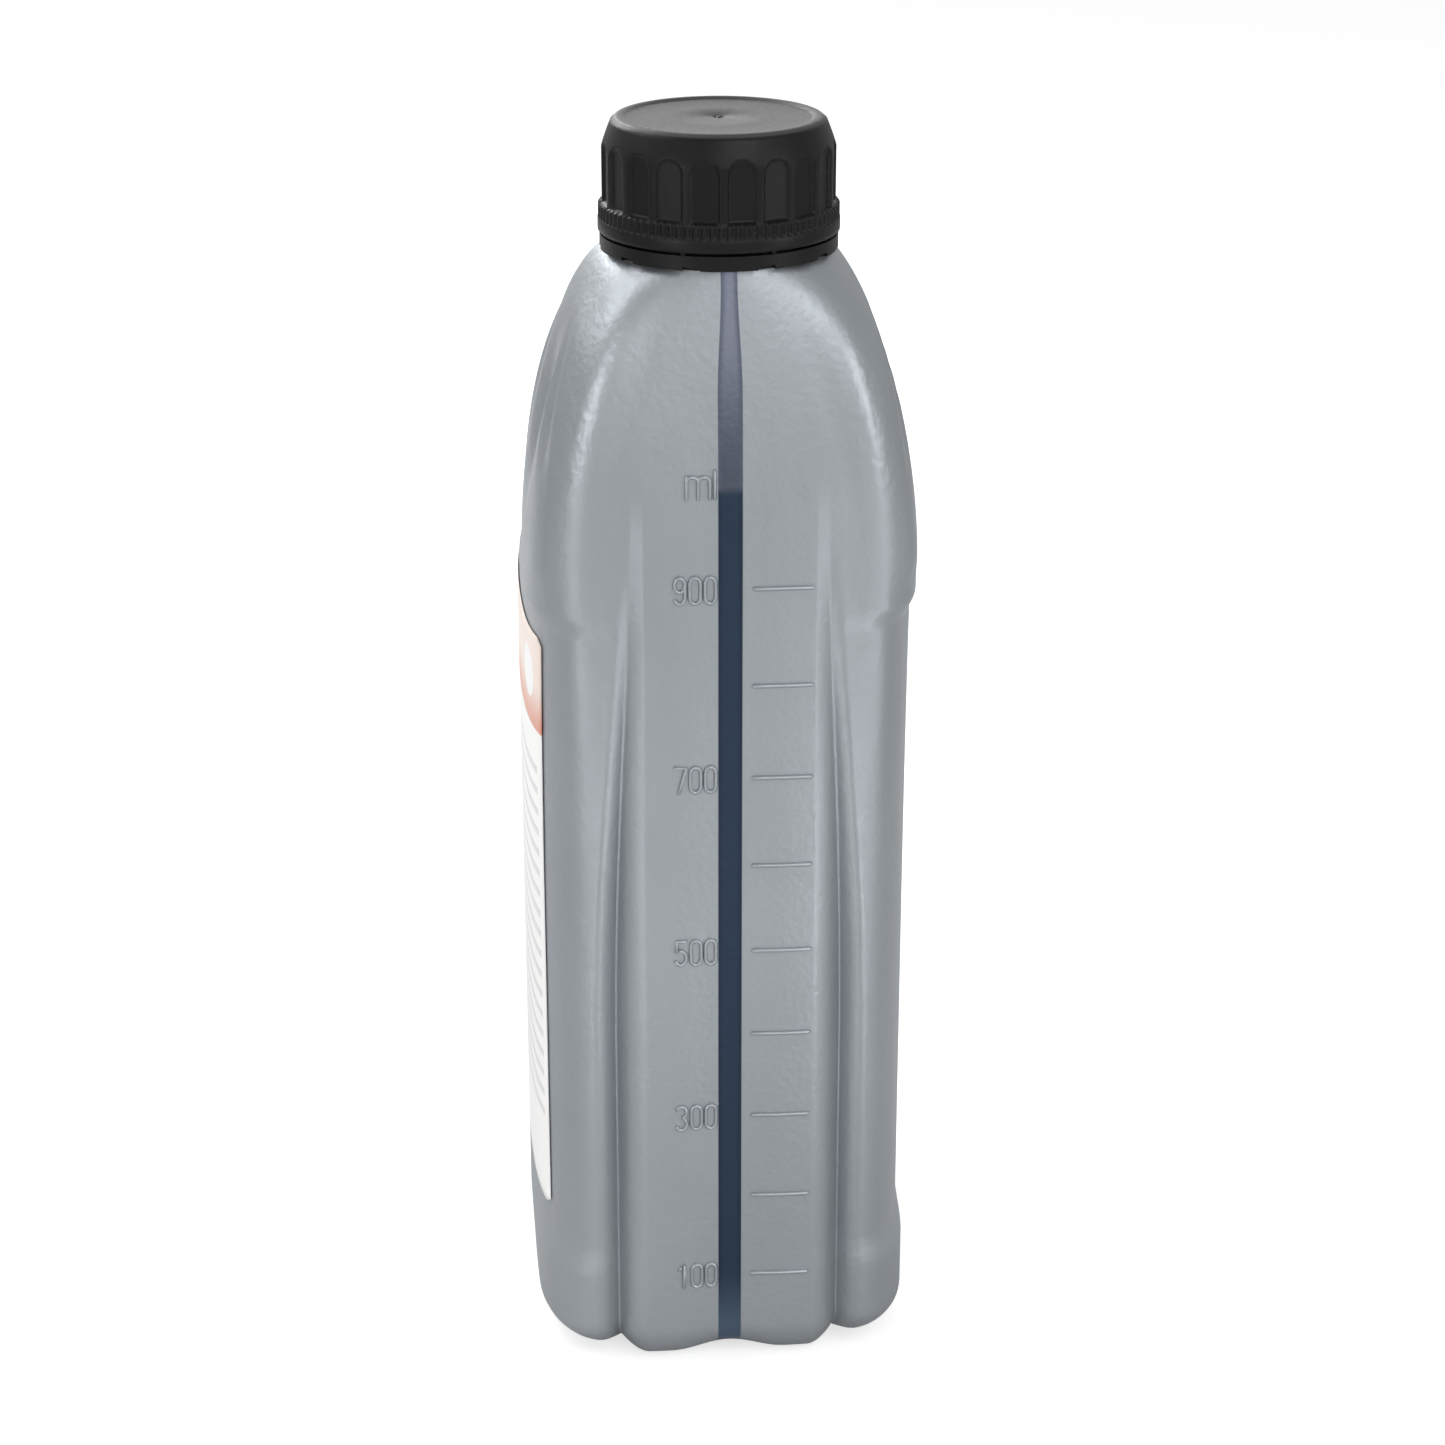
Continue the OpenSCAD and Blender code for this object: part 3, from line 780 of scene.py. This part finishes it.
def sheet_faces(across, up):
    """Faces of two layers of a grid and of the edge that joins them."""
    n = across + 1
    total = n * (up + 1)
    faces = []
    for j in range(up):
        for i in range(across):
            a = j * n + i
            faces.append((a, a + 1, a + n + 1, a + n))
            faces.append((total + a + n, total + a + n + 1, total + a + 1, total + a))
    edge = list(range(n)) + [j * n + across for j in range(1, up + 1)]
    edge += [up * n + i for i in range(across - 1, -1, -1)]
    edge += [j * n for j in range(up - 1, 0, -1)]
    for a, b in zip(edge, edge[1:] + edge[:1]):
        faces.append((b, a, total + a, total + b))
    return faces


def label_sheet():
    """Thin sheet that follows the front panel."""
    across, up = 90, 90
    low_z = (PANEL_LOW_Z + PANEL_HIGH_Z - LABEL_H) / 2
    power = squareness(low_z)
    edge_y = half_depth(low_z) * (1 - (LABEL_W / BODY_W) ** power) ** (1 / power)
    start = math.atan2(edge_y, LABEL_W / 2)
    points = []
    for out in (LABEL_GAP, LABEL_GAP + LABEL_T):
        for j in range(up + 1):
            v = j / up
            from_edge = min(v, 1 - v) * LABEL_H
            points.append(label_row(low_z + LABEL_H * v, from_edge, start, across, out))
    obj = new_object("label_front", np.concatenate(points), sheet_faces(across, up))
    join_close_points(obj)
    return obj


# Materials
class Nodes:
    """Short way to add linked shader nodes to one material."""

    def __init__(self, name):
        self.material = bpy.data.materials.new(name)
        self.material.use_nodes = True
        self.tree = self.material.node_tree
        self.shader = self.tree.nodes["Principled BSDF"]
        coords = self.tree.nodes.new("ShaderNodeTexCoord")
        self.position = coords.outputs["Object"]
        split = self.tree.nodes.new("ShaderNodeSeparateXYZ")
        self.tree.links.new(self.position, split.inputs[0])
        self.x, self.y, self.z = split.outputs

    def feed(self, socket, value):
        if isinstance(value, (int, float, tuple)):
            socket.default_value = value
        else:
            self.tree.links.new(value, socket)

    def math(self, operation, a, b=0.0):
        node = self.tree.nodes.new("ShaderNodeMath")
        node.operation = operation
        self.feed(node.inputs[0], a)
        self.feed(node.inputs[1], b)
        return node.outputs[0]

    def plus(self, a, b):
        return self.math("ADD", a, b)

    def minus(self, a, b):
        return self.math("SUBTRACT", a, b)

    def times(self, a, b):
        return self.math("MULTIPLY", a, b)

    def mm(self, metres):
        return self.math("DIVIDE", metres, MM)

    def square(self, value):
        return self.math("POWER", value, 2.0)

    def ramp(self, value, low, high):
        """0 at low, 1 at high, smooth between. Low may be the greater of the two."""
        node = self.tree.nodes.new("ShaderNodeMapRange")
        node.interpolation_type = "SMOOTHSTEP"
        self.feed(node.inputs["Value"], value)
        self.feed(node.inputs["From Min"], low)
        self.feed(node.inputs["From Max"], high)
        return node.outputs["Result"]

    def band(self, value, low, high, soft=0.15):
        """1 between low and high, 0 elsewhere."""
        above = self.ramp(value, low - soft, low + soft)
        return self.times(above, self.ramp(value, high + soft, high - soft))

    def noise(self, scale, detail=2.0, rough=0.5, stretch=(1.0, 1.0, 1.0)):
        mapping = self.tree.nodes.new("ShaderNodeMapping")
        mapping.inputs["Scale"].default_value = stretch
        self.tree.links.new(self.position, mapping.inputs["Vector"])
        node = self.tree.nodes.new("ShaderNodeTexNoise")
        node.inputs["Scale"].default_value = scale
        node.inputs["Detail"].default_value = detail
        node.inputs["Roughness"].default_value = rough
        self.tree.links.new(mapping.outputs[0], node.inputs["Vector"])
        return node.outputs["Fac"]

    def colour(self, share, first, second):
        node = self.tree.nodes.new("ShaderNodeMix")
        node.data_type = "RGBA"
        # The node's colour sockets come after its number and vector ones
        self.feed(node.inputs["Factor"], share)
        self.feed(node.inputs[6], first)
        self.feed(node.inputs[7], second)
        return node.outputs[2]

    def bump(self, height, strength, distance):
        node = self.tree.nodes.new("ShaderNodeBump")
        self.feed(node.inputs["Strength"], strength)
        node.inputs["Distance"].default_value = distance
        self.feed(node.inputs["Height"], height)
        self.tree.links.new(node.outputs[0], self.shader.inputs["Normal"])

    def set(self, **values):
        """Feeds the shader's sockets, named in lower case with underscores."""
        for name, value in values.items():
            socket = name.replace("_", " ").title().replace("Ior", "IOR")
            self.feed(self.shader.inputs[socket], value)
        return self.material


def grey_plastic():
    """Satin silver-grey polyethylene with a clear stripe that shows the fluid's level."""
    m = Nodes("grey_hdpe")
    z_mm = m.mm(m.z)
    y_mm = m.math("ABSOLUTE", m.mm(m.y))
    cloud = m.noise(28, 3.0)
    flow = m.noise(60, 2.0, 0.5, (1.0, 1.0, 0.12))
    tone = m.ramp(m.plus(m.times(cloud, 0.5), m.times(flow, 0.5)), 0.35, 0.65)
    grey = m.colour(tone, (0.33, 0.355, 0.38, 1), (0.36, 0.385, 0.41, 1))

    # The stripe is on the scale side only, and narrower at its top
    widening = m.ramp(z_mm, 215.0, 195.0)
    half_w = m.plus(m.times(widening, STRIPE_HALF_W - STRIPE_TOP_HALF_W), STRIPE_TOP_HALF_W)
    from_edge = m.minus(half_w, y_mm)
    on_scale_side = m.ramp(m.x, 30 * MM, 34 * MM)
    in_stripe = m.times(m.ramp(from_edge, -0.12, 0.12), on_scale_side)
    inward = m.ramp(from_edge, 0.0, 1.2)
    # The empty part of the stripe is coloured lighter towards its top
    towards_top = m.ramp(z_mm, 180.0, 210.0)
    lighter_top = m.colour(towards_top, (0.085, 0.10, 0.135, 1), (0.19, 0.205, 0.265, 1))
    empty = m.colour(inward, (0.10, 0.112, 0.155, 1), lighter_top)
    full = m.colour(inward, (0.020, 0.034, 0.060, 1), (0.027, 0.046, 0.080, 1))
    lit_foot = m.colour(m.ramp(z_mm, 22.0, 2.0), full, (0.10, 0.145, 0.21, 1))
    filled = m.ramp(z_mm, FLUID_LEVEL + 1.0, FLUID_LEVEL - 1.0)
    colour = m.colour(in_stripe, grey, m.colour(filled, empty, lit_foot))

    # Fine orange peel all over, and a coarser leather on the shoulder
    peel = m.noise(750, 2.0)
    leather = m.noise(300, 2.0, 0.55, (1.0, 1.0, 0.6))
    shoulder = m.times(m.ramp(z_mm, 160.0, 178.0), m.ramp(z_mm, 212.0, 198.0))
    m.bump(m.plus(peel, m.times(leather, m.times(shoulder, 1.4))), 0.26, 0.0004)
    rough = m.minus(m.plus(m.times(peel, 0.12), 0.36), m.times(in_stripe, 0.1))
    return m.set(base_color=colour, roughness=rough, metallic=0.75)


def black_plastic():
    """Black satin polypropylene with fine scuffs, and a painted sheen: its flat top is coloured a
    lighter grey.
    """
    m = Nodes("black_cap")
    grain = m.noise(900, 3.0)
    scuff = m.ramp(m.noise(420, 4.0, 0.7), 0.66, 0.78)
    cloud = m.noise(90, 3.0)
    on_top = m.ramp(m.mm(m.z), CAP_TOP_Z - 0.75, CAP_TOP_Z - 0.35)
    plain = m.colour(cloud, (0.0038, 0.0038, 0.0043, 1), (0.0066, 0.0066, 0.0071, 1))
    # Painted sheen: the flat top is coloured a lighter grey where it faces the lamps
    painted_top_sheen = m.colour(cloud, (0.022, 0.022, 0.023, 1), (0.045, 0.045, 0.046, 1))
    base = m.colour(on_top, plain, painted_top_sheen)
    colour = m.colour(m.times(scuff, 0.10), base, (0.16, 0.16, 0.16, 1))
    m.bump(grain, 0.12, 0.0003)
    rough = m.plus(m.times(grain, 0.14), m.plus(0.34, m.times(on_top, 0.1)))
    shine = m.plus(0.2, m.times(on_top, 0.3))
    return m.set(base_color=colour, roughness=rough, specular_ior_level=shine)


def white_foam():
    m = Nodes("white_liner")
    cells = m.noise(1600, 2.0)
    m.bump(cells, 0.3, 0.0003)
    colour = m.colour(cells, (0.70, 0.70, 0.67, 1), (0.80, 0.80, 0.78, 1))
    return m.set(base_color=colour, roughness=0.7)


def dark_oil():
    m = Nodes("dark_fluid")
    colour = m.colour(m.noise(20, 2.0), (0.02, 0.034, 0.06, 1), (0.028, 0.046, 0.08, 1))
    return m.set(base_color=colour, roughness=0.12)


def printed_film():
    """White film with a warm block, two pale discs and rows of grey bars."""
    m = Nodes("label_film")
    z_mm = m.mm(m.z)
    from_middle = m.math("ABSOLUTE", m.minus(m.mm(m.x), (NEAR_FACE_X + FAR_FACE_X) / 2))
    paper = m.colour(m.noise(200, 2.0), (0.92, 0.915, 0.905, 1), (0.95, 0.945, 0.94, 1))

    block_z, block_fade = 128.0, 10.0
    fade = m.ramp(z_mm, block_z, block_z + block_fade)
    warm = m.colour(fade, (0.70, 0.30, 0.20, 1), (0.86, 0.74, 0.67, 1))
    colour = m.colour(m.ramp(z_mm, block_z - 0.2, block_z + 0.2), paper, warm)

    bar_pitch, bar_strength = 4.2, 0.4
    rows = m.math("FRACT", m.math("DIVIDE", z_mm, bar_pitch))
    bars = m.times(m.band(rows, 0.35, 0.72, 0.04), m.band(z_mm, 46.0, 122.0))
    bars = m.times(bars, m.ramp(from_middle, 31.0, 30.6))
    colour = m.colour(m.times(bars, bar_strength), colour, (0.36, 0.37, 0.38, 1))

    disc_off, disc_z = 25.0, 138.0
    beside, above = m.minus(from_middle, disc_off), m.minus(z_mm, disc_z)
    disc = m.ramp(m.plus(m.square(beside), m.square(above)), 27.0, 23.0)
    colour = m.colour(disc, colour, (0.90, 0.90, 0.90, 1))
    m.bump(m.noise(500, 2.0), 0.04, 0.0003)
    return m.set(base_color=colour, roughness=0.32)


# Stage
def floor_material():
    """Plain pale floor, raised to white for the camera so that only its shadow shows."""
    material = bpy.data.materials.new("pale_floor")
    material.use_nodes = True
    tree = material.node_tree
    shader = tree.nodes["Principled BSDF"]
    shader.inputs["Base Color"].default_value = FLOOR_COLOUR
    shader.inputs["Roughness"].default_value = 0.9
    shader.inputs["Emission Color"].default_value = (1, 1, 1, 1)
    path = tree.nodes.new("ShaderNodeLightPath")
    glow = tree.nodes.new("ShaderNodeMath")
    glow.operation = "MULTIPLY"
    glow.inputs[1].default_value = FLOOR_GLOW
    tree.links.new(path.outputs["Is Camera Ray"], glow.inputs[0])
    tree.links.new(glow.outputs[0], shader.inputs["Emission Strength"])
    return material


def stage():
    size = 3.0
    corners = [(-size, -size, 0), (size, -size, 0), (size, size, 0), (-size, size, 0)]
    mesh = bpy.data.meshes.new("floor")
    mesh.from_pydata(corners, [], [(0, 1, 2, 3)])
    floor = bpy.data.objects.new("floor", mesh)
    bpy.context.scene.collection.objects.link(floor)
    floor.data.materials.append(floor_material())


def world():
    """Soft grey light all round, and a white background to the camera and through clear things."""
    scene_world = bpy.data.worlds.new("studio")
    bpy.context.scene.world = scene_world
    scene_world.use_nodes = True
    tree = scene_world.node_tree
    background = tree.nodes["Background"]
    background.inputs["Color"].default_value = (1, 1, 1, 1)
    path = tree.nodes.new("ShaderNodeLightPath")
    shown = tree.nodes.new("ShaderNodeMath")
    shown.operation = "MAXIMUM"
    tree.links.new(path.outputs["Is Camera Ray"], shown.inputs[0])
    tree.links.new(path.outputs["Is Transmission Ray"], shown.inputs[1])
    strength = tree.nodes.new("ShaderNodeMapRange")
    strength.inputs["To Min"].default_value = WORLD_LIGHT
    strength.inputs["To Max"].default_value = 1.0
    tree.links.new(shown.outputs[0], strength.inputs["Value"])
    tree.links.new(strength.outputs[0], background.inputs["Strength"])


def area_light(name, place, target, size, power):
    lamp = bpy.data.lights.new(name, "AREA")
    lamp.shape = "RECTANGLE"
    lamp.size, lamp.size_y = size
    lamp.energy = power
    obj = bpy.data.objects.new(name, lamp)
    obj.location = place
    obj.rotation_euler = (Vector(target) - Vector(place)).to_track_quat("-Z", "Y").to_euler()
    bpy.context.scene.collection.objects.link(obj)


def camera():
    """The photograph's viewpoint: a long lens above the cap, five degrees round to the front."""
    frame_px = 1445.0
    focal_px = 3300.0
    pitch = math.radians(21.2)
    yaw = math.radians(5.1)
    aim = math.radians(5.165)
    distance = 580.0
    height = 350.3
    data = bpy.data.cameras.new("camera")
    data.sensor_width = 36.0
    data.lens = focal_px / frame_px * data.sensor_width
    data.clip_start = 0.01
    obj = bpy.data.objects.new("camera", data)
    place = Vector((NECK_X + distance * math.cos(yaw), -distance * math.sin(yaw), height)) * MM
    level = math.cos(pitch)
    look = Vector((-math.cos(aim) * level, math.sin(aim) * level, -math.sin(pitch)))
    turned = look.to_track_quat("-Z", "Y").to_matrix().to_4x4()
    obj.matrix_world = Matrix.Translation(place) @ turned
    bpy.context.scene.collection.objects.link(obj)
    bpy.context.scene.camera = obj


def dress(obj, material):
    obj.data.materials.clear()
    obj.data.materials.append(material)


def main():
    grey, black = grey_plastic(), black_plastic()

    shell = bottle_shell()
    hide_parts("bottle")
    for piece in (shell, neck_thread(), scale_marks()):
        dress(piece, grey)
        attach(piece, "bottle_body")

    cap = cap_shell()
    dress(cap, black)
    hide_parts("cap")
    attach(cap, "cap_body")

    label = label_sheet()
    dress(label, printed_film())
    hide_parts("front_label")
    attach(label, "bottle_body")

    nodes = frame["nodes"]
    dress(nodes["tamper_band"], black)
    dress(nodes["liner"], white_foam())
    dress(nodes["fluid"], dark_oil())

    stage()
    world()
    for lamp in LAMPS:
        area_light(*lamp)
    camera()


main()
bpy.context.scene.view_settings.view_transform = "Standard"
